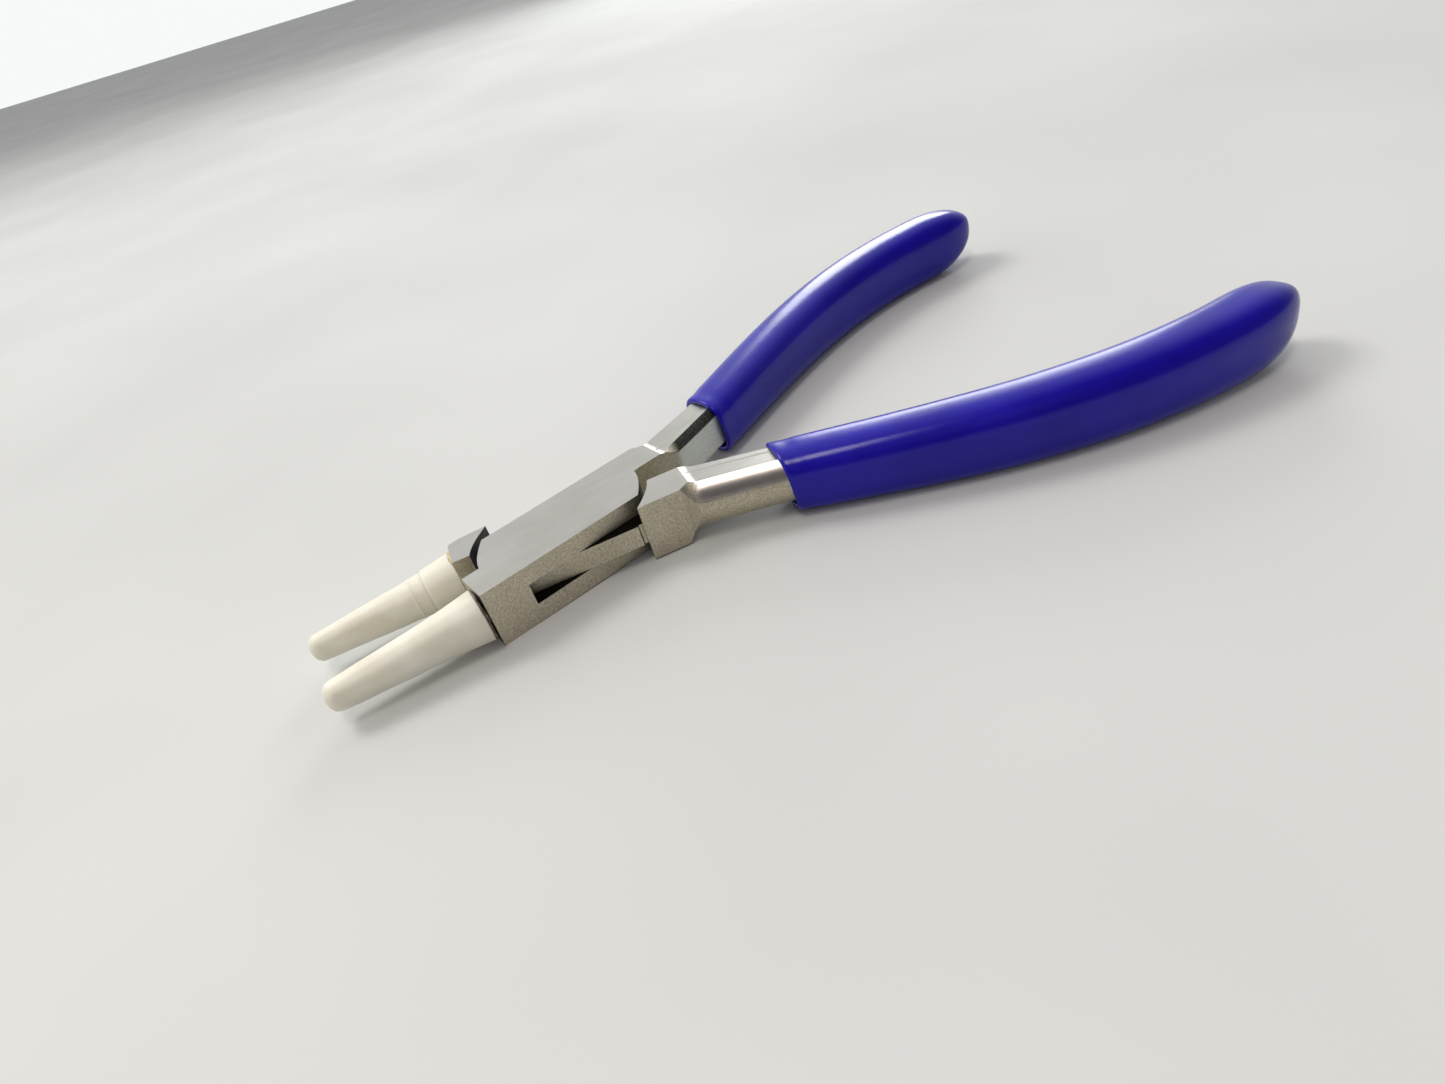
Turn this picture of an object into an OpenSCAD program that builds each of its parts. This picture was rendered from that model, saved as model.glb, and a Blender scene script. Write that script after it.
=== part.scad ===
// Round nose pliers with a box joint: two forged steel halves, a pivot pin, glued nylon jaws and dipped vinyl grips.
// The jaws point along -Y, the handles along +Y, and the pivot is the Z axis.
// The joint lies flat, with its underside at z = 0.

/* [Joint] */
// Width of the box joint, side to side
joint_w = 11.5; // [10.5:0.1:12.5]
// Thickness of the box joint, top to bottom
joint_t = 8.8; // [8.4:0.1:9.6]
// Distance from the pivot to the flat face that carries a jaw
face_y = 15.6; // [15:0.1:18]
// Distance from the pivot to the corner of a cheek, along the joint's side
corner_y = 9.7; // [9.2:0.1:10.2]
// Distance from the pivot to the middle of a cheek's end
cheek_y = 12.9; // [12.6:0.1:13.6]
// Thickness of the tenon that passes through the slot
tenon_t = 3.2; // [2.8:0.1:3.6]
// Clearance above and below the tenon
slot_gap = 0.08; // [0.04:0.01:0.12]
// Gap between the two halves where their shoulders meet
shoulder_gap = 0.18; // [0.15:0.01:0.25]
// Radius of the pivot pin
pin_r = 2.0; // [1.6:0.1:2.4]
// Running clearance round the pin, inside the tenon
pin_gap = 0.04; // [0.02:0.01:0.08]

/* [Pose] */
// Turn of each half from closed, as the pliers lie open
open_angle = 8.5; // [7:0.5:12]

/* [Jaws] */
// Length of a nylon jaw, from its glue line to its tip
jaw_length = 21.6; // [17:0.2:24]
// Radius of a jaw at its root
jaw_root_r = 3.75; // [3.4:0.05:3.9]
// Radius of a jaw just behind its rounded tip
jaw_tip_r = 2.15; // [1.6:0.05:2.6]
// Lean of the jaws' meeting line from the centre plane
jaw_lean = 2.2; // [1.8:0.1:3]
// Radius of the steel peg inside a jaw
peg_r = 1.5; // [1.2:0.1:1.8]
// Length of the steel peg
peg_length = 9; // [7:0.5:12]
// Thickness of the glue between a jaw and the steel
glue_t = 0.35; // [0.25:0.05:0.5]

/* [Handles] */
// Radius of the round steel shank where it leaves the joint
shank_r = 4.15; // [4:0.05:4.2]
// Distance from a shank's axis to the flat along its inner side
shank_flat = 3.3; // [3:0.1:3.5]
// Radius of the hollow where the shank meets the joint
flare_r = 2.8; // [2.4:0.1:3.4]
// Distance from the pivot to the start of that hollow
flare_y = 16.6; // [16.2:0.1:17]
// Distance from the pivot to the far end of a handle
handle_y = 106.2; // [98:0.2:110]
// Distance from the centre plane to the far end of a handle's centre line
handle_x = 17.6; // [16:0.2:19]
// Height of a shank's axis above the middle of the joint
shank_rise = 0.6; // [0.4:0.1:0.8]
// Depth by which a shank's top is ground below the top of the joint
relief = 0.25; // [0.1:0.05:0.4]

/* [Grips] */
// Width of a grip at its rim
rim_w = 8.8; // [8.4:0.1:9.6]
// Height of a grip at its rim
rim_h = 9.6; // [9.4:0.1:10.4]
// Width of a grip at its thickest
grip_w = 9.8; // [9.2:0.1:11]
// Height of a grip at its thickest
grip_h = 11.6; // [10.8:0.1:12.4]
// Squareness of a grip's section: 2 is an ellipse
grip_square = 2.8; // [2.2:0.1:3.2]
// Height of a grip's centre line above the middle of the joint
grip_rise = 0.15; // [0:0.05:0.3]
// Rise of a grip's far end above the rest of its centre line
end_rise = 1; // [0:0.1:1.2]
// Slope of a grip's rim across its width, so that it starts farther back on the outer side
rim_slant = 0.3; // [0:0.05:0.35]
// Slope of a grip's rim up its height, so that it starts farther back at the bottom
rim_lean = 0.1; // [0:0.02:0.14]

/* [Hidden] */
$fn = 64;
half_w = joint_w / 2;
mid_z = joint_t / 2;
shank_z = mid_z + shank_rise;
grip_z = mid_z + grip_rise;
slot_t = tenon_t + 2 * slot_gap;
tenon_r = norm([half_w, corner_y - 0.6]);
slot_r = tenon_r + 0.15;
face_gap = 0.1;
jaw_y = face_y + glue_t;
jaw_x = jaw_root_r + 0.1 - face_y * tan(jaw_lean);
jaw_tip_x = jaw_tip_r + 0.1 - (jaw_y + jaw_length) * tan(jaw_lean);
jaw_turn = atan((jaw_x - jaw_tip_x) / (jaw_length - jaw_tip_r));
reach = 40;

// The handle's centre line is one cubic curve, from inside the joint to the far end.
handle_curve = [[1.9, 15.5], [8.2, 42], [handle_x + 10.4, 69], [handle_x, handle_y]];
shank_turn = 17;
side_y = 16.2;
relief_y = 19;
relief_r = 3;
shank_length = 19;
tang_w = 4.6;
tang_t = 4.2;
tang_start = 0.2;
tang_end = 0.9;
tang_steps = 14;
grip_start = 0.185;
grip_steps = 30;
ring_points = 44;
cap_start = 0.89;
cap_steps = 12;

function curve(p, t) =
    pow(1 - t, 3) * p[0] + 3 * pow(1 - t, 2) * t * p[1] + 3 * (1 - t) * t * t * p[2] + pow(t, 3) * p[3];
function slope(p, t) =
    3 * pow(1 - t, 2) * (p[1] - p[0]) + 6 * (1 - t) * t * (p[2] - p[1]) + 3 * t * t * (p[3] - p[2]);
function side(v) = [v[1], -v[0]] / norm(v);
function mix(a, b, u) = a + (b - a) * u;

// End of a cheek: a shallow S from the centre plane out to the corner, in front of the pivot on the -X side.
function shoulder(grow) = [
    for (i = [0 : 12])
        grow * curve([[0, -cheek_y], [-2, 0.4 - cheek_y], [-3.8, 1.7 - cheek_y], [-half_w, -corner_y]], i / 12)
];
function backwards(list) = [for (i = [len(list) - 1 : -1 : 0]) list[i]];
function turned(list) = [for (p = list) -p];
shoulder_grow = 1 + shoulder_gap / 12;

// ---- shapes that both halves share, drawn for the half whose jaw is at -X and whose handle is at +X ----

// Places a shape on the shank's axis, which then runs along +Z.
module on_shank() {
    translate([handle_curve[0][0], handle_curve[0][1], shank_z]) rotate([-90, 0, -shank_turn]) children();
}

// Point on the flat along the shank's inner side, at a distance s from the start of its axis.
function on_flat(s) =
    handle_curve[0] + s * [sin(shank_turn), cos(shank_turn)] - shank_flat * [cos(shank_turn), -sin(shank_turn)];
flat_start = (face_gap - on_flat(0)[0]) / sin(shank_turn);

// Round shank with the hollow where the joint's corners run down into it, cut from a wide round blank.
module shank() {
    start = flare_y - handle_curve[0][1];
    on_shank() rotate_extrude() difference() {
        polygon([
            [0, -reach], [reach, -reach], [reach, start], [shank_r + flare_r, start],
            [shank_r + flare_r, start + flare_r], [shank_r, start + flare_r],
            [shank_r - 0.2, shank_length], [0, shank_length]
        ]);
        translate([shank_r + flare_r, start + flare_r]) circle(r = flare_r);
    }
}

// Flat tang that follows the handle's curve inside the grip.
module tang() {
    steps = [for (i = [0 : tang_steps]) mix(tang_start, tang_end, i / tang_steps)];
    outer = [for (t = steps) curve(handle_curve, t) + side(slope(handle_curve, t)) * tang_w / 2];
    inner = [for (t = steps) curve(handle_curve, t) - side(slope(handle_curve, t)) * tang_w / 2];
    translate([0, 0, grip_z - tang_t / 2]) linear_extrude(tang_t) polygon(concat(outer, backwards(inner)));
}

// Handle of a half: front is the line, from the centre plane outwards, where its root begins.
// Its top is nearly flush with the joint, its inner side is flat, and its outer side is round.
module handle(front) {
    difference() {
        intersection() {
            linear_extrude(joint_t) polygon(concat(
                front,
                [[half_w, side_y], [half_w + 2.4, side_y + 3.2], [reach / 2, reach]],
                [on_flat(reach), on_flat(flat_start)]
            ));
            shank();
        }
        top_relief();
    }
    tang();
}

// Shallow cut along the top of the shank, which starts in a round hollow behind the joint.
module top_relief() {
    translate([0, relief_y, joint_t - relief]) {
        translate([-reach / 2, 0, relief_r]) rotate([0, 90, 0]) cylinder(r = relief_r, h = reach);
        translate([-reach / 2, 0, 0]) cube([reach, reach, joint_t]);
    }
}

// Places a shape at a jaw's root, which then runs along +Z; the jaw is at -X.
module on_jaw() {
    translate([-jaw_x, -face_y, mid_z]) rotate([90, 0, jaw_turn]) children();
}

module peg() {
    on_jaw() translate([0, 0, -1]) cylinder(r = peg_r, h = peg_length + 1);
}

module jaw() {
    waist = jaw_length * 0.45;
    waist_r = mix(jaw_root_r, jaw_tip_r, 0.55);
    straight = jaw_length - jaw_tip_r * 0.75;
    difference() {
        on_jaw() translate([0, 0, glue_t]) {
            rotate_extrude() polygon([
                [0, 0], [jaw_root_r, 0], [mix(jaw_root_r, waist_r, 0.32), waist * 0.22], [waist_r, waist],
                [jaw_tip_r, straight], [jaw_tip_r * 0.92, straight + jaw_tip_r * 0.35],
                [jaw_tip_r * 0.7, straight + jaw_tip_r * 0.6], [jaw_tip_r * 0.36, straight + jaw_tip_r * 0.72],
                [0, jaw_length]
            ]);
        }
        peg();
    }
}

module adhesive() {
    difference() {
        on_jaw() cylinder(r = jaw_root_r - 0.1, h = glue_t);
        peg();
    }
}

// One ring of a grip's skin: t is the place on the centre line, thick runs from rim to full size,
// and close from 0 to 1 draws the far end in.
function grip_ring(t, thick, close) =
    let (
        centre = curve(handle_curve, t),
        across = side(slope(handle_curve, t)),
        shrink = pow(1 - pow(close, 2.4), 1 / 2.2),
        w = shrink * mix(rim_w, grip_w, thick) / 2,
        h = shrink * mix(rim_h, grip_h, thick) / 2,
        z = grip_z + end_rise * close * close,
        along = [-across[1], across[0]] * pow(1 - thick, 3)
    ) [
        for (k = [0 : ring_points - 1])
            let (
                a = 360 * k / ring_points,
                u = sign(cos(a)) * pow(abs(cos(a)), 2 / grip_square),
                v = sign(sin(a)) * pow(abs(sin(a)), 2 / grip_square),
                place = centre + across * w * u + along * (rim_slant * w * u - rim_lean * h * v)
            )
                [place[0], place[1], z + h * v]
    ];

module grip() {
    body = [
        for (i = [0 : grip_steps])
            grip_ring(mix(grip_start, cap_start, i / grip_steps), sin(90 * i / grip_steps), 0)
    ];
    cap = [
        for (i = [1 : cap_steps])
            let (close = sin(86 * i / cap_steps))
                grip_ring(mix(cap_start, 1, close), 1, close)
    ];
    rings = concat(body, cap);
    n = ring_points;
    last = len(rings) - 1;
    points = [for (ring = rings) each ring];
    skin = [
        for (i = [0 : last - 1], k = [0 : n - 1])
            let (a = i * n + k, b = i * n + (k + 1) % n)
                [a, b, b + n, a + n]
    ];
    ends = [[for (k = [n - 1 : -1 : 0]) k], [for (k = [0 : n - 1]) last * n + k]];
    difference() {
        polyhedron(points = points, faces = concat(skin, ends), convexity = 4);
        handle([[face_gap, corner_y], [half_w, corner_y]]);
    }
}

// ---- the two halves ----

// Turns a left-hand shape into the box half's side, then opens it.
module box_side() {
    rotate([0, 0, open_angle]) mirror([1, 0, 0]) children();
}

module tenon_side() {
    rotate([0, 0, -open_angle]) children();
}

// Box with its cheeks, drawn like the shared shapes: its cheeks end freely at front +X and rear -X.
module box_outline() {
    free_end = [for (p = shoulder(1)) [-p[0], p[1]]];
    polygon(concat(
        [[-face_gap, -face_y], [-half_w, -face_y]],
        backwards(turned(free_end)),
        [[face_gap, cheek_y + 1], [half_w, cheek_y + 1]],
        backwards(free_end),
        [[-face_gap, -cheek_y]]
    ));
}

// Jaw stub of the tenon half, which ends behind in a shoulder that meets the cheeks.
module stub_outline() {
    polygon(concat(
        [[-face_gap, -face_y], [-half_w + 0.9, -face_y], [-half_w + 0.25, -face_y + 1.8]],
        backwards(shoulder(shoulder_grow)),
        [[-face_gap, -cheek_y * shoulder_grow]]
    ));
}

module slot() {
    translate([0, 0, mid_z - slot_t / 2]) linear_extrude(slot_t) {
        circle(r = slot_r);
        translate([0, -reach]) square([reach, reach]);
        translate([-reach, 0]) square([reach, reach]);
    }
}

module box_half() {
    color([0.74, 0.73, 0.70]) box_side() {
        difference() {
            union() {
                linear_extrude(joint_t) box_outline();
                handle([[face_gap, corner_y], [half_w, corner_y]]);
            }
            slot();
            translate([0, 0, -1]) cylinder(r = pin_r, h = joint_t + 2);
        }
        peg();
    }
}

module tenon_half() {
    color([0.74, 0.73, 0.70]) tenon_side() {
        difference() {
            union() {
                translate([0, 0, mid_z - tenon_t / 2]) linear_extrude(tenon_t) {
                    intersection() {
                        circle(r = tenon_r);
                        square([joint_w, 4 * corner_y], center = true);
                    }
                    translate([-half_w + 0.3, -cheek_y - 1]) square([half_w - 0.3 - face_gap, cheek_y]);
                    translate([face_gap, 1]) square([half_w - 0.3 - face_gap, cheek_y]);
                }
                linear_extrude(joint_t) stub_outline();
                handle(turned(shoulder(shoulder_grow)));
            }
            translate([0, 0, -1]) cylinder(r = pin_r + pin_gap, h = joint_t + 2);
        }
        peg();
    }
}

module pivot_pin() {
    color([0.70, 0.69, 0.66]) cylinder(r = pin_r, h = joint_t);
}

module box_side_jaw() {
    color([0.80, 0.78, 0.70]) box_side() jaw();
}

module tenon_side_jaw() {
    color([0.80, 0.78, 0.70]) tenon_side() jaw();
}

module box_side_adhesive() {
    color([0.45, 0.40, 0.30]) box_side() adhesive();
}

module tenon_side_adhesive() {
    color([0.72, 0.66, 0.50]) tenon_side() adhesive();
}

module box_side_grip() {
    color([0.09, 0.05, 0.55]) box_side() grip();
}

module tenon_side_grip() {
    color([0.09, 0.05, 0.55]) tenon_side() grip();
}

box_half();
tenon_half();
pivot_pin();
box_side_jaw();
tenon_side_jaw();
box_side_adhesive();
tenon_side_adhesive();
box_side_grip();
tenon_side_grip();
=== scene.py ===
"""Round nose pliers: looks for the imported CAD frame.

Shapes are drawn in millimetres and become metres in skin(). The stage, lights and camera are in metres.
"""

import math

import bmesh
import bpy
from mathutils import Matrix, Vector, noise


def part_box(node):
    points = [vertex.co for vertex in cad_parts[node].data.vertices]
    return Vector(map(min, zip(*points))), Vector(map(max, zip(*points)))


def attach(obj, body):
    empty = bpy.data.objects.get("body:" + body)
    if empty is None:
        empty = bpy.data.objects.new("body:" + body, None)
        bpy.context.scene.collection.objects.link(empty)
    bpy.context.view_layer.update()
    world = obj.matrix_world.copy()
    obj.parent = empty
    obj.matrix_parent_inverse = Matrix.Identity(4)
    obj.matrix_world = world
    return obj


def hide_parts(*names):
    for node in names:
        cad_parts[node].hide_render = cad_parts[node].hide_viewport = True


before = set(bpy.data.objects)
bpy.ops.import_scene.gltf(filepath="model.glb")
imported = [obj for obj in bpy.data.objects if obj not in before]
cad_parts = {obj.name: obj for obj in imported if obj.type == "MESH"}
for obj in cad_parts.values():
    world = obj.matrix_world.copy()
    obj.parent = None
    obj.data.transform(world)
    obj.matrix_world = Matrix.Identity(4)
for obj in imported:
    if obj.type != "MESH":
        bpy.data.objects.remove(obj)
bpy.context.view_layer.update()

MM = 0.001

# ---- dimensions, the same as in part.scad ----
JOINT_T = 8.8
MID_Z = JOINT_T / 2
SLOT_HALF = 1.68
SHANK_Z = MID_Z + 0.6
GRIP_Z = MID_Z + 0.15
FACE_Y = 15.6
OPEN_ANGLE = math.radians(8.5)

JAW_LENGTH = 21.6
JAW_ROOT_R = 3.75
JAW_TIP_R = 2.15
JAW_LEAN = math.radians(2.2)
GLUE_T = 0.35

SHANK_TURN = math.radians(17)
INNER_FLAT_Y = 19.5
HANDLE_X, HANDLE_Y = 17.6, 106.2
HANDLE_CURVE = [Vector(p) for p in ((1.9, 15.5), (8.2, 42), (HANDLE_X + 10.4, 69), (HANDLE_X, HANDLE_Y))]
RIM_W, RIM_H = 8.8, 9.6
GRIP_W, GRIP_H = 9.8, 11.6
GRIP_SQUARE = 2.8
END_RISE = 1.0
RIM_SLANT, RIM_LEAN = 0.3, 0.1
GRIP_START = 0.185
CAP_START = 0.89

# ---- details that only the looks have ----
EDGE_EASE = 0.09
LIP_R = 0.5
MOUTH_WALL = LIP_R + 0.35
BORE_DEPTH = 3.0
POLISH_Z = SHANK_Z + 1.2
RIDGE_Z = SHANK_Z + 2.45
COLLAR_LENGTH = 4.6
COLLAR_STEP = 0.14
GLUE_INSET = 0.20


# ---- places ----
def side_matrix(side):
    """Puts a shape drawn for the closed tenon side (jaw at -X, handle at +X) in place on either side, open."""
    if side == "tenon_side":
        return Matrix.Rotation(-OPEN_ANGLE, 4, "Z")
    return Matrix.Rotation(OPEN_ANGLE, 4, "Z") @ Matrix.Diagonal((-1, 1, 1, 1))


def jaw_matrix():
    """Stands a shape drawn along +Z on the jaw's axis, with its base on the steel face."""
    root_x = JAW_ROOT_R + 0.1 - FACE_Y * math.tan(JAW_LEAN)
    tip_x = JAW_TIP_R + 0.1 - (FACE_Y + GLUE_T + JAW_LENGTH) * math.tan(JAW_LEAN)
    turn = math.atan((root_x - tip_x) / (JAW_LENGTH - JAW_TIP_R))
    place = Matrix.Translation((-root_x, -FACE_Y, MID_Z))
    return place @ Matrix.Rotation(turn, 4, "Z") @ Matrix.Rotation(math.pi / 2, 4, "X")


def curve(t):
    a, b, c, d = HANDLE_CURVE
    return a * (1 - t) ** 3 + b * 3 * t * (1 - t) ** 2 + c * 3 * t * t * (1 - t) + d * t ** 3


def slope(t):
    a, b, c, d = HANDLE_CURVE
    return (b - a) * 3 * (1 - t) ** 2 + (c - b) * 6 * t * (1 - t) + (d - c) * 3 * t * t


def mix(a, b, u):
    return a + (b - a) * u


def smooth(u):
    u = min(1.0, max(0.0, u))
    return u * u * (3 - 2 * u)


# ---- mesh building ----
def skin(name, rings, matrix, material, looped=False):
    """Closed mesh through rings of equal length: capped at its two ends, or looped back to the first ring."""
    mesh = bmesh.new()
    rows = [[mesh.verts.new(matrix @ Vector(p) * MM) for p in ring] for ring in rings]
    n = len(rows[0])
    following = rows[1:] + rows[:1] if looped else rows[1:]
    for lower, upper in zip(rows, following):
        for k in range(n):
            mesh.faces.new((lower[k], lower[(k + 1) % n], upper[(k + 1) % n], upper[k]))
    if not looped:
        mesh.faces.new(rows[0])
        mesh.faces.new(rows[-1])
    bmesh.ops.recalc_face_normals(mesh, faces=mesh.faces)
    for face in mesh.faces:
        face.smooth = True
    data = bpy.data.meshes.new(name)
    mesh.to_mesh(data)
    mesh.free()
    piece = bpy.data.objects.new(name, data)
    bpy.context.scene.collection.objects.link(piece)
    data.materials.append(material)
    return piece


def lathe(name, profile, matrix, material, wobble, segments=96):
    """Skin of revolution round +Z.

    profile is a list of (radius, height), and wobble(angle, height) adds to the radius.
    """
    rings = []
    for r, z in profile:
        ring = []
        for k in range(segments):
            a = 2 * math.pi * k / segments
            radius = r + wobble(a, z)
            ring.append((radius * math.cos(a), radius * math.sin(a), z))
        rings.append(ring)
    return skin(name, rings, matrix, material)


# ---- materials ----
class Nodes:
    """Small helper that adds nodes to a material and links them."""

    def __init__(self, name):
        self.material = bpy.data.materials.new(name)
        self.material.use_nodes = True
        self.tree = self.material.node_tree
        self.shader = self.tree.nodes["Principled BSDF"]
        self.coords = self.add("ShaderNodeTexCoord").outputs["Object"]

    def add(self, kind, **inputs):
        node = self.tree.nodes.new(kind)
        for key, value in inputs.items():
            self.put(node.inputs[key], value)
        return node

    def put(self, socket, value):
        if isinstance(value, bpy.types.NodeSocket):
            self.tree.links.new(value, socket)
        else:
            socket.default_value = value

    def noise(self, scale, detail=3.0, roughness=0.5, stretch=None):
        vector = self.coords
        if stretch:
            mapping = self.add("ShaderNodeMapping", Vector=vector)
            mapping.inputs["Scale"].default_value = stretch
            vector = mapping.outputs["Vector"]
        return self.add(
            "ShaderNodeTexNoise", Vector=vector, Scale=scale, Detail=detail, Roughness=roughness
        ).outputs["Fac"]

    def ramp(self, fac, low, high, start=0.0, end=1.0):
        """Blends from colour low to colour high as fac goes from start to end."""
        ramp = self.add("ShaderNodeValToRGB", Fac=fac)
        stops = ramp.color_ramp.elements
        stops[0].position, stops[1].position = start, end
        stops[0].color, stops[1].color = (*low, 1), (*high, 1)
        return ramp.outputs["Color"]

    def range(self, value, low, high):
        node = self.add("ShaderNodeMapRange", Value=value)
        node.inputs["To Min"].default_value = low
        node.inputs["To Max"].default_value = high
        return node.outputs["Result"]

    def math(self, operation, a, b=None):
        node = self.tree.nodes.new("ShaderNodeMath")
        node.operation = operation
        self.put(node.inputs[0], a)
        if b is not None:
            self.put(node.inputs[1], b)
        return node.outputs[0]

    def step(self, value, start, end):
        """Goes smoothly from 0 at start to 1 at end."""
        node = self.add("ShaderNodeMapRange", Value=value)
        node.interpolation_type = "SMOOTHSTEP"
        node.inputs["From Min"].default_value = start
        node.inputs["From Max"].default_value = end
        return node.outputs["Result"]

    def blend_values(self, fac, a, b):
        return self.math("ADD", a, self.math("MULTIPLY", fac, self.math("SUBTRACT", b, a)))

    def blend(self, fac, a, b, mode="MIX"):
        node = self.tree.nodes.new("ShaderNodeMix")
        node.data_type = "RGBA"
        node.blend_type = mode
        self.put(node.inputs[0], fac)
        self.put(node.inputs[6], a if isinstance(a, bpy.types.NodeSocket) else (*a, 1))
        self.put(node.inputs[7], b if isinstance(b, bpy.types.NodeSocket) else (*b, 1))
        return node.outputs[2]

    def bump(self, height, strength, distance, normal=None):
        node = self.add("ShaderNodeBump", Height=height)
        node.inputs["Strength"].default_value = strength
        node.inputs["Distance"].default_value = distance
        if normal:
            self.put(node.inputs["Normal"], normal)
        return node.outputs["Normal"]

    def set(self, **inputs):
        for key, value in inputs.items():
            self.put(self.shader.inputs[key.replace("_", " ")], value)


def steel_material():
    """Forged steel: satin ground tops, polished round outside the shanks, and grainy tan sides.

    The slot, the walls of the notches and the round above each shank's inner flat are painted dark as painted
    shade, and each shank's inner flat is painted pale as a painted reflection.
    """
    m = Nodes("satin_steel")
    normal = m.add("ShaderNodeNewGeometry").outputs["Normal"]
    facing = m.add("ShaderNodeSeparateXYZ", Vector=normal).outputs
    place = m.add("ShaderNodeSeparateXYZ", Vector=m.coords).outputs
    flatness = m.math("ABSOLUTE", facing["Z"])
    ground = m.step(flatness, 0.90, 0.98)

    # Shank zones: outside and inside of each shank's axis, above or below the lines where its finish changes
    # outside, and where painted shade and a painted reflection change inside.
    open_turn = SHANK_TURN + OPEN_ANGLE
    start = Matrix.Rotation(-OPEN_ANGLE, 2) @ HANDLE_CURVE[0]
    axis_x = m.math("MULTIPLY", place["Y"], math.tan(open_turn))
    from_axis = m.math("SUBTRACT", m.math("ABSOLUTE", place["X"]), axis_x)
    axis_at = (start.x - start.y * math.tan(open_turn)) * MM
    outside = m.step(from_axis, axis_at - 1.2 * MM, axis_at - 0.6 * MM)
    behind = m.step(place["Y"], (FACE_Y + 1.0) * MM, (FACE_Y + 2.2) * MM)
    above = m.step(place["Z"], (POLISH_Z - 0.1) * MM, (POLISH_Z + 0.1) * MM)
    polished = m.math("MULTIPLY", m.math("MULTIPLY", behind, above), outside)
    past_joint = m.step(place["Y"], INNER_FLAT_Y * MM, (INNER_FLAT_Y + 1.5) * MM)
    inside = m.math("MULTIPLY", past_joint, m.math("SUBTRACT", 1.0, outside))
    ridge = m.step(place["Z"], (RIDGE_Z - 0.1) * MM, (RIDGE_Z + 0.1) * MM)
    # The round above each shank's inner flat is painted dark: painted shade and dark reflection.
    round_shade = m.math("MULTIPLY", m.math("MULTIPLY", inside, ridge), m.math("SUBTRACT", 1.0, ground))
    # Each shank's inner flat is painted pale: a painted reflection.
    inner_flat_reflection = m.math("MULTIPLY", inside, m.math("SUBTRACT", 1.0, ridge))

    # The slot between the two halves is painted near-black: painted shade.
    from_middle = m.math("ABSOLUTE", m.math("SUBTRACT", place["Z"], MID_Z * MM))
    at_slot = m.step(from_middle, (SLOT_HALF + 0.22) * MM, (SLOT_HALF + 0.12) * MM)
    slot_shade = m.math("MULTIPLY", at_slot, m.step(flatness, 0.5, 0.8))

    # The walls of the notches at the two ends of the box face along Y. They are painted dark: painted shade.
    end_facing = m.step(m.math("ABSOLUTE", facing["Y"]), 0.35, 0.60)
    within = m.step(m.math("ABSOLUTE", place["Y"]), (FACE_Y - 0.5) * MM, (FACE_Y - 0.9) * MM)
    notch_shade = m.math("MULTIPLY", m.math("MULTIPLY", end_facing, within), m.math("SUBTRACT", 1.0, ground))

    grain = m.noise(3800, detail=2.0, roughness=0.6)
    brushed = m.noise(900, detail=3.0, stretch=(1.0, 0.12, 1.0))
    cloud = m.noise(160, detail=3.0)
    side_colour = m.ramp(grain, (0.43, 0.39, 0.305), (0.76, 0.70, 0.565), 0.3, 0.7)
    top_colour = m.ramp(brushed, (0.45, 0.435, 0.405), (0.48, 0.465, 0.435), 0.3, 0.7)
    round_colour = m.ramp(brushed, (0.66, 0.60, 0.55), (0.76, 0.70, 0.64), 0.3, 0.7)
    # Painted reflection for each shank's inner flat, and painted shade for the round above it.
    flat_reflection_colour = m.ramp(grain, (0.62, 0.65, 0.58), (0.80, 0.83, 0.76), 0.3, 0.7)
    round_shade_colour = m.ramp(grain, (0.03, 0.03, 0.028), (0.10, 0.10, 0.09), 0.35, 0.7)
    colour = m.blend(polished, side_colour, round_colour)
    colour = m.blend(inner_flat_reflection, colour, flat_reflection_colour)
    colour = m.blend(ground, colour, top_colour)
    colour = m.blend(round_shade, colour, round_shade_colour)
    tone = m.ramp(cloud, (0.93, 0.925, 0.91), (1.0, 1.0, 1.0), 0.3, 0.65)
    colour = m.blend(1.0, colour, tone, "MULTIPLY")
    # Painted shade on the walls of the notches.
    colour = m.blend(notch_shade, colour, (0.10, 0.10, 0.105))
    # Painted shade in the slot.
    colour = m.blend(slot_shade, colour, (0.02, 0.018, 0.015))
    smoothness = m.math("MAXIMUM", ground, polished)
    roughness = m.blend_values(smoothness, m.range(grain, 0.46, 0.62), m.range(brushed, 0.26, 0.34))
    height = m.blend_values(smoothness, grain, m.math("MULTIPLY", brushed, 0.2))
    fine = m.bump(height, 0.35, 0.00002)
    m.set(
        Base_Color=colour, Metallic=1.0, Roughness=roughness,
        Normal=m.bump(m.math("SUBTRACT", 1.0, polished), 0.8, 0.00006, fine),
    )
    return m.material


def vinyl_material():
    """Dipped vinyl: deep blue, glossy, with a faint orange peel and clouding."""
    m = Nodes("dipped_vinyl")
    cloud = m.noise(90, detail=2.0)
    peel = m.noise(700, detail=1.0)
    dust = m.noise(5200, detail=1.0)
    colour = m.ramp(cloud, (0.0065, 0.0020, 0.250), (0.0105, 0.0040, 0.320), 0.35, 0.65)
    m.set(
        Base_Color=colour, Roughness=m.range(dust, 0.17, 0.26), IOR=1.46, Specular_IOR_Level=0.32,
        Normal=m.bump(peel, 0.08, 0.0001),
    )
    return m.material


def nylon_material():
    """Cream nylon: slightly translucent, with turning marks and warmer patches."""
    m = Nodes("cream_nylon")
    cloud = m.noise(220, detail=3.0)
    marks = m.noise(1600, detail=2.0, stretch=(0.3, 2.2, 0.3))
    colour = m.ramp(cloud, (0.68, 0.64, 0.53), (0.77, 0.745, 0.655), 0.3, 0.7)
    m.set(
        Base_Color=colour, Roughness=m.range(marks, 0.38, 0.52), IOR=1.53,
        Subsurface_Weight=0.45, Subsurface_Scale=0.0012,
        Normal=m.bump(marks, 0.12, 0.00004),
    )
    m.shader.inputs["Subsurface Radius"].default_value = (1.0, 0.75, 0.45)
    return m.material


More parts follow.
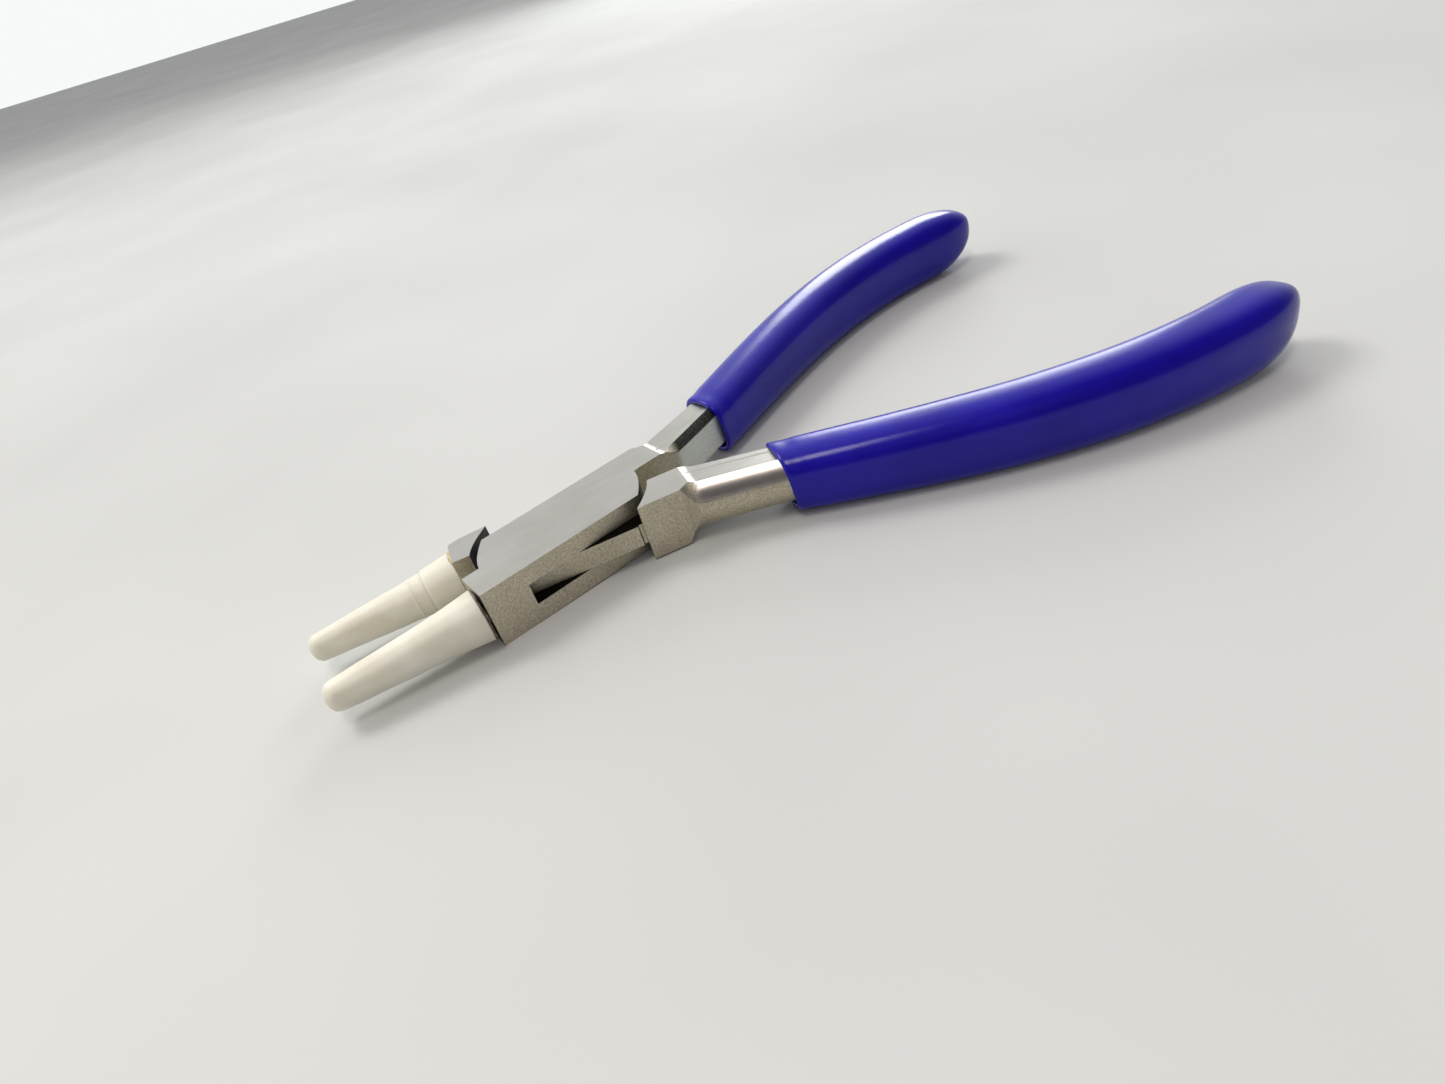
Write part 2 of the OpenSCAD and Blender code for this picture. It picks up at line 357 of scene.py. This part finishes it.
def glue_material(name, low, high):
    """Cured glue: glossy, clouded by dirt between the colours low and high."""
    m = Nodes(name)
    dirt = m.noise(1400, detail=4.0, roughness=0.7)
    m.set(
        Base_Color=m.ramp(dirt, low, high, 0.35, 0.65), Roughness=0.22, IOR=1.5,
        Subsurface_Weight=0.3, Subsurface_Scale=0.0006,
        Normal=m.bump(dirt, 0.3, 0.00008),
    )
    return m.material


def floor_material():
    """Plain pale floor with very faint clouding."""
    m = Nodes("pale_floor")
    cloud = m.noise(9, detail=2.0)
    m.set(
        Base_Color=m.ramp(cloud, (0.54, 0.54, 0.528), (0.60, 0.60, 0.587), 0.3, 0.7),
        Roughness=0.9, Specular_IOR_Level=0.1,
    )
    return m.material


steel = steel_material()
vinyl = vinyl_material()
nylon = nylon_material()
clear_glue = glue_material("amber_glue", (0.42, 0.30, 0.11), (0.80, 0.70, 0.42))
dark_glue = glue_material("dark_glue", (0.020, 0.016, 0.012), (0.16, 0.12, 0.08))


# ---- steel: the CAD solids, with their edges eased ----
def finish_steel(node):
    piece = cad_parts[node]
    piece.data.materials.clear()
    piece.data.materials.append(steel)
    return piece


for half in ("box_half", "tenon_half"):
    bevel = finish_steel(half).modifiers.new("eased_edges", "BEVEL")
    bevel.width = EDGE_EASE * MM
    bevel.segments = 2
    bevel.limit_method = "ANGLE"
    bevel.angle_limit = math.radians(35)
    bevel.harden_normals = False
finish_steel("pivot_pin")


# ---- grips ----
def grip_section(t, thick, close, inset=0.0, segments=96):
    """Ring of a grip's skin at t on the centre line.

    thick runs from 0 at the rim to 1 at full size, and close from 0 to 1 draws the far end in.
    """
    centre = curve(t)
    along = slope(t).normalized()
    across = Vector((along.y, -along.x))
    shrink = (1 - close ** 2.4) ** (1 / 2.2)
    w = shrink * (mix(RIM_W, GRIP_W, thick) / 2 - inset)
    h = shrink * (mix(RIM_H, GRIP_H, thick) / 2 - inset)
    z = GRIP_Z + END_RISE * close * close
    fade = (1 - thick) ** 3
    ring = []
    for k in range(segments):
        a = 2 * math.pi * k / segments
        u = w * math.copysign(abs(math.cos(a)) ** (2 / GRIP_SQUARE), math.cos(a))
        v = h * math.copysign(abs(math.sin(a)) ** (2 / GRIP_SQUARE), math.sin(a))
        place = centre + across * u + along * fade * (RIM_SLANT * u - RIM_LEAN * v)
        ring.append(Vector((place.x, place.y, z + v)))
    return ring


def make_grip(side):
    """Dipped sleeve: a mouth that closes on the shank, a rolled rim with a faint lip, and a bulbous end."""
    per_mm = 1 / slope(GRIP_START).length
    lip_at = GRIP_START + LIP_R * per_mm
    rings = [grip_section(GRIP_START + BORE_DEPTH * per_mm, 0.0, 0.0, MOUTH_WALL + 0.1)]
    rings.append(grip_section(lip_at, 0.0, 0.0, MOUTH_WALL))
    lip_steps = 12
    for step in range(lip_steps + 1):
        a = math.pi * step / lip_steps
        t = GRIP_START + LIP_R * per_mm * (1 - math.sin(a))
        rings.append(grip_section(t, 0.0, 0.0, MOUTH_WALL * (1 + math.cos(a)) / 2))
    body_steps = 90
    for step in range(1, body_steps + 1):
        u = step / body_steps
        t = mix(lip_at, CAP_START, u)
        behind_lip = math.exp(-(((t - GRIP_START) / per_mm - 2.2) / 0.9) ** 2)
        rings.append(grip_section(t, math.sin(math.pi / 2 * u), 0.0, 0.07 * behind_lip))
    cap_steps = 40
    for step in range(1, cap_steps + 1):
        close = math.sin(math.radians(88.5) * step / cap_steps)
        rings.append(grip_section(mix(CAP_START, 1.0, close), 1.0, close))
    middle_x = curve(0.5).x
    for ring in rings[2:]:
        for point in ring:
            axis = Vector((middle_x, point.y, GRIP_Z))
            point += (point - axis).normalized() * 0.03 * (noise.noise(point * 0.16) - 0.5)
    grip = skin(side + "_grip_skin", rings, side_matrix(side), vinyl)
    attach(grip, side)
    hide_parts(side + "_grip")


# ---- nylon jaws ----
def jaw_profile(collar):
    """Outline of a jaw from the glue line to its rounded tip.

    With a collar, a seam runs round it near the root, and a low ridge in front of the seam.
    """
    waist = JAW_LENGTH * 0.45
    waist_r = mix(JAW_ROOT_R, JAW_TIP_R, 0.55)
    straight = JAW_LENGTH - JAW_TIP_R * 0.75
    profile = [(0.02, GLUE_T), (JAW_ROOT_R - 0.16, GLUE_T), (JAW_ROOT_R - 0.04, GLUE_T + 0.05)]
    steps = 180
    for step in range(steps + 1):
        z = mix(0.16, straight, step / steps)
        if z < waist:
            r = mix(JAW_ROOT_R, waist_r, 1 - (1 - z / waist) ** 1.35)
        else:
            r = mix(waist_r, JAW_TIP_R, (z - waist) / (straight - waist))
        if collar:
            from_seam = z - COLLAR_LENGTH
            r -= COLLAR_STEP * smooth(from_seam / COLLAR_STEP) + 0.30 * math.exp(-(from_seam / 0.13) ** 2)
            r += 0.09 * math.exp(-((from_seam - 1.9) / 0.16) ** 2)
        profile.append((r - 0.02, z + GLUE_T))
    end_r = profile[-1][0]
    tip_steps = 16
    for step in range(1, tip_steps + 1):
        a = math.radians(87) * step / tip_steps
        profile.append((end_r * math.cos(a) ** 0.8, GLUE_T + straight + JAW_TIP_R * 0.72 * math.sin(a)))
    return profile


def make_jaw(side, collar, seed):
    def hand_finish(angle, height):
        place = Vector((math.cos(angle) * 1.2, math.sin(angle) * 1.2 + seed, height * 0.22))
        return 0.05 * (noise.noise(place) - 0.3)

    jaw = lathe(side + "_jaw_body", jaw_profile(collar), side_matrix(side) @ jaw_matrix(), nylon, hand_finish)
    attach(jaw, side)
    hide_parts(side + "_jaw")


# ---- glue between jaw and steel ----
def make_glue(side, material, size, seed):
    """Uneven ring of squeezed-out glue, thickest where size(angle) is greatest."""
    rings = []
    around, across = 120, 14
    ring_r = JAW_ROOT_R - GLUE_INSET
    for k in range(around):
        a = 2 * math.pi * k / around
        lump = size(a) * (0.75 + 0.5 * noise.noise(Vector((math.cos(a) * 2.6, math.sin(a) * 2.6, seed))))
        ring = []
        for j in range(across):
            b = 2 * math.pi * j / across
            r = ring_r + lump * math.cos(b)
            z = GLUE_T * 0.55 + lump * 0.9 * math.sin(b)
            ring.append((r * math.cos(a), r * math.sin(a), z))
        rings.append(ring)
    bead = skin(side + "_glue_bead", rings, side_matrix(side) @ jaw_matrix(), material, looped=True)
    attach(bead, side)
    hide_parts(side + "_adhesive")


def thin_line(angle):
    return 0.24


def line_with_bead(angle):
    """A thin line with one big drop of glue, near the top of the jaw."""
    return 0.24 + 0.34 * math.exp(-((angle - 1.5) / 0.45) ** 2)


make_grip("box_side")
make_grip("tenon_side")
make_jaw("box_side", False, 0.0)
make_jaw("tenon_side", True, 7.0)
make_glue("box_side", dark_glue, thin_line, 3.0)
make_glue("tenon_side", clear_glue, line_with_bead, 9.0)


# ---- stage: floor, light and camera ----
# The grips stand below the joint's underside, so the floor tilts to touch the joint's front edge and the grips.
GRIP_END_LENGTH = 14
grip_low = min(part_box("box_side_grip")[0].z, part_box("tenon_side_grip")[0].z)
grip_rest_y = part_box("tenon_side_grip")[1].y - GRIP_END_LENGTH * MM
front_y = -FACE_Y * MM
tilt = math.atan2(-grip_low, grip_rest_y - front_y)
bpy.ops.mesh.primitive_plane_add(size=6.0, location=(0, front_y, 0))
floor = bpy.context.object
floor.name = "floor"
floor.rotation_euler = (-tilt, 0, 0)
floor.location.z = -0.00002
floor.data.materials.append(floor_material())


def soft_light(name, place, size, watts, colour):
    """Rectangular light that faces the middle of the pliers."""
    light = bpy.data.lights.new(name, "AREA")
    light.shape = "RECTANGLE"
    light.size, light.size_y = size
    light.energy = watts
    light.color = colour
    lamp = bpy.data.objects.new(name, light)
    lamp.location = place
    lamp.rotation_euler = (LIGHT_TARGET - Vector(place)).to_track_quat("-Z", "Y").to_euler()
    bpy.context.scene.collection.objects.link(lamp)
    return lamp


LIGHT_TARGET = Vector((0.0, 0.03, 0.0))
soft_light("window_behind", (-0.72, 0.62, 0.34), (0.40, 0.30), 3.2, (0.95, 0.98, 1.0))
soft_light("lamp_left", (-0.55, -0.35, 0.80), (0.35, 0.35), 4.5, (1.0, 0.98, 0.95))
soft_light("strip_above", (0.19, -0.14, 0.76), (0.14, 0.30), 1.7, (1.0, 0.93, 0.86))
fill = soft_light("camera_side_fill", (0.60, -0.10, 0.55), (0.5, 0.5), 1.2, (1.0, 0.98, 0.95))
fill.visible_glossy = False

# The room is bright on the far side (-X) and dim on the camera's side, for the steel and the grips to mirror.
world = bpy.data.worlds.new("soft_room")
bpy.context.scene.world = world
world.use_nodes = True
tree = world.node_tree
direction = tree.nodes.new("ShaderNodeTexCoord").outputs["Generated"]
axes = tree.nodes.new("ShaderNodeSeparateXYZ")
tree.links.new(direction, axes.inputs["Vector"])
away = tree.nodes.new("ShaderNodeMapRange")
away.interpolation_type = "SMOOTHSTEP"
away.inputs["From Min"].default_value = 0.45
away.inputs["From Max"].default_value = -0.45
tree.links.new(axes.outputs["X"], away.inputs["Value"])
room = tree.nodes.new("ShaderNodeValToRGB")
room.color_ramp.elements[0].color = (0.10, 0.10, 0.11, 1)
room.color_ramp.elements[1].color = (0.98, 1.0, 1.0, 1)
tree.links.new(away.outputs["Result"], room.inputs["Fac"])
tree.links.new(room.outputs["Color"], tree.nodes["Background"].inputs["Color"])
tree.nodes["Background"].inputs["Strength"].default_value = 0.95

camera_data = bpy.data.cameras.new("camera")
camera_data.sensor_width = 36.0
camera_data.lens = 22.97
camera_data.clip_start = 0.005
camera = bpy.data.objects.new("camera", camera_data)
bpy.context.scene.collection.objects.link(camera)
azimuth, elevation, roll = math.radians(70.1), math.radians(35.7), math.radians(-17.3)
camera.matrix_world = (
    Matrix.Translation((0.1091, -0.0178, 0.0747))
    @ Matrix.Rotation(azimuth, 4, "Z")
    @ Matrix.Rotation(math.pi / 2 - elevation, 4, "X")
    @ Matrix.Rotation(roll, 4, "Z")
)
bpy.context.scene.camera = camera
bpy.context.scene.view_settings.view_transform = "Standard"
